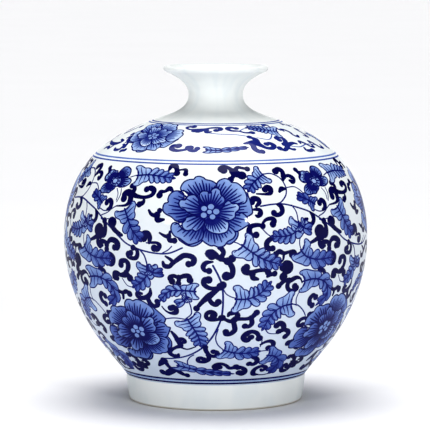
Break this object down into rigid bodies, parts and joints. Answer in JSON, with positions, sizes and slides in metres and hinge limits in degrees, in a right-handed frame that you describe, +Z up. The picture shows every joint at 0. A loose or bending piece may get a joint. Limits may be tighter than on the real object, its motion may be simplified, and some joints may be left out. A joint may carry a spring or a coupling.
{
  "type": "porcelain vase",
  "caption": "Round-bellied blue and white porcelain vase with a waisted neck, flared mouth and turned foot ring, open inside for water and stems.",
  "frame": {"origin": "centre of the foot ring's standing edge, on the surface the vase stands on", "axes": "+Z up along the axis of revolution, from the foot to the mouth; -Y is the front"},
  "size_m": [0.2, 0.2, 0.22],
  "materials": {
    "white_glaze": "gloss",
    "painted_glaze": "gloss over blue painting",
    "fired_slip": "matte"
  },
  "bodies": {
    "root": {"foot_ring": "white_glaze", "lower_body": "painted_glaze", "upper_body": "painted_glaze", "neck_and_mouth": "white_glaze", "foot_slip_seam": "fired_slip", "belly_slip_seam": "fired_slip", "neck_slip_seam": "fired_slip"}
  },
  "joints": []
}
